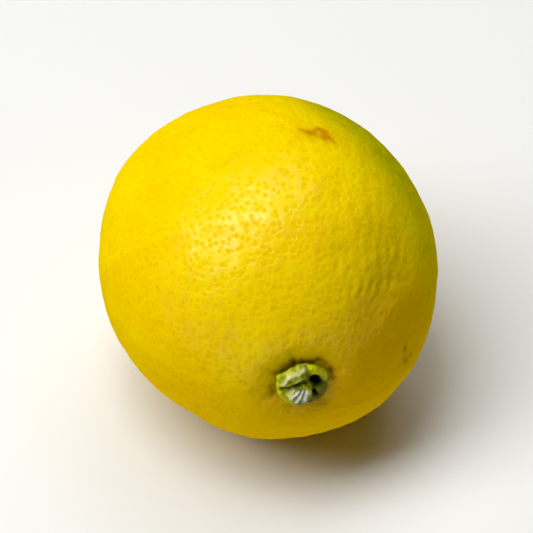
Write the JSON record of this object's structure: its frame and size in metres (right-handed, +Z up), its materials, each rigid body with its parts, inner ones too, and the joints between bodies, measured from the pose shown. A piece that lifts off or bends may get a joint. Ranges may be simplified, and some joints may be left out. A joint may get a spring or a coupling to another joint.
{
  "type": "lemon",
  "caption": "Whole lemon lying on its side, with a pitted peel, a blunt nipple at the blossom end and a green stem button in a shallow dimple.",
  "frame": {"origin": "centre of the bounding box in X and Y, at the level of the flat rest spot in Z", "axes": "+Y from the stem end to the blossom end, +X to the right seen from the stem end, +Z up; the fruit's axis is tilted 6 degrees about X, stem end up, as it rests"},
  "size_m": [0.0624, 0.0746, 0.0613],
  "materials": {
    "peel": null,
    "stem": null
  },
  "bodies": {
    "root": {"fruit": "peel", "stem_button": "stem"}
  },
  "joints": []
}
